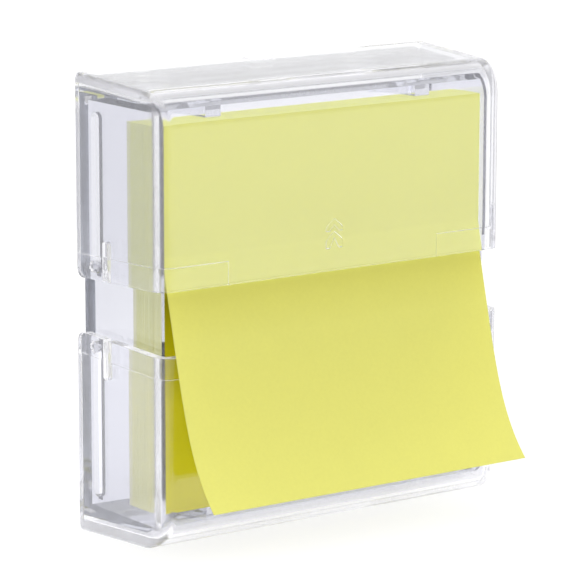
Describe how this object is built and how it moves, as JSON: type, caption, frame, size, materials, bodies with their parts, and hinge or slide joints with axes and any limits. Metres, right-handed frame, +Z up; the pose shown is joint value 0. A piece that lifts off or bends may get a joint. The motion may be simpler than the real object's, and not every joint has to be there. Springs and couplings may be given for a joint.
{
  "type": "sticky note dispenser",
  "caption": "Clear upright pop-up dispenser for square notes: two covers slide on an open tray with the stack, and the front note hangs out of the slot between them.",
  "frame": {"origin": "bottom centre of the box around the whole part, the pulled note included", "axes": "+Z up through the slot from lower to upper cover, -Y out of the front where the note hangs, +X to the right seen from the front"},
  "size_m": [0.0854, 0.0422, 0.092],
  "materials": {
    "cover_plastic": "clear moulded plastic, polished",
    "tray_plastic": "clear moulded plastic, polished",
    "note_paper": "uncoated yellow paper"
  },
  "bodies": {
    "lower_cover_body": {"lower_cover": "cover_plastic"},
    "tray_body": {"tray": "tray_plastic", "note_pad": "note_paper", "pulled_note": "note_paper"},
    "upper_cover_body": {"upper_cover": "cover_plastic"}
  },
  "joints": [
    {"name": "tray_lift", "type": "slide", "parent": "lower_cover_body", "child": "tray_body", "axis": [0, 0, 1], "range_m": [0, 0.0289]},
    {"name": "upper_cover_lift", "type": "slide", "parent": "tray_body", "child": "upper_cover_body", "axis": [0, 0, 1], "range_m": [0, 0.0289]}
  ]
}
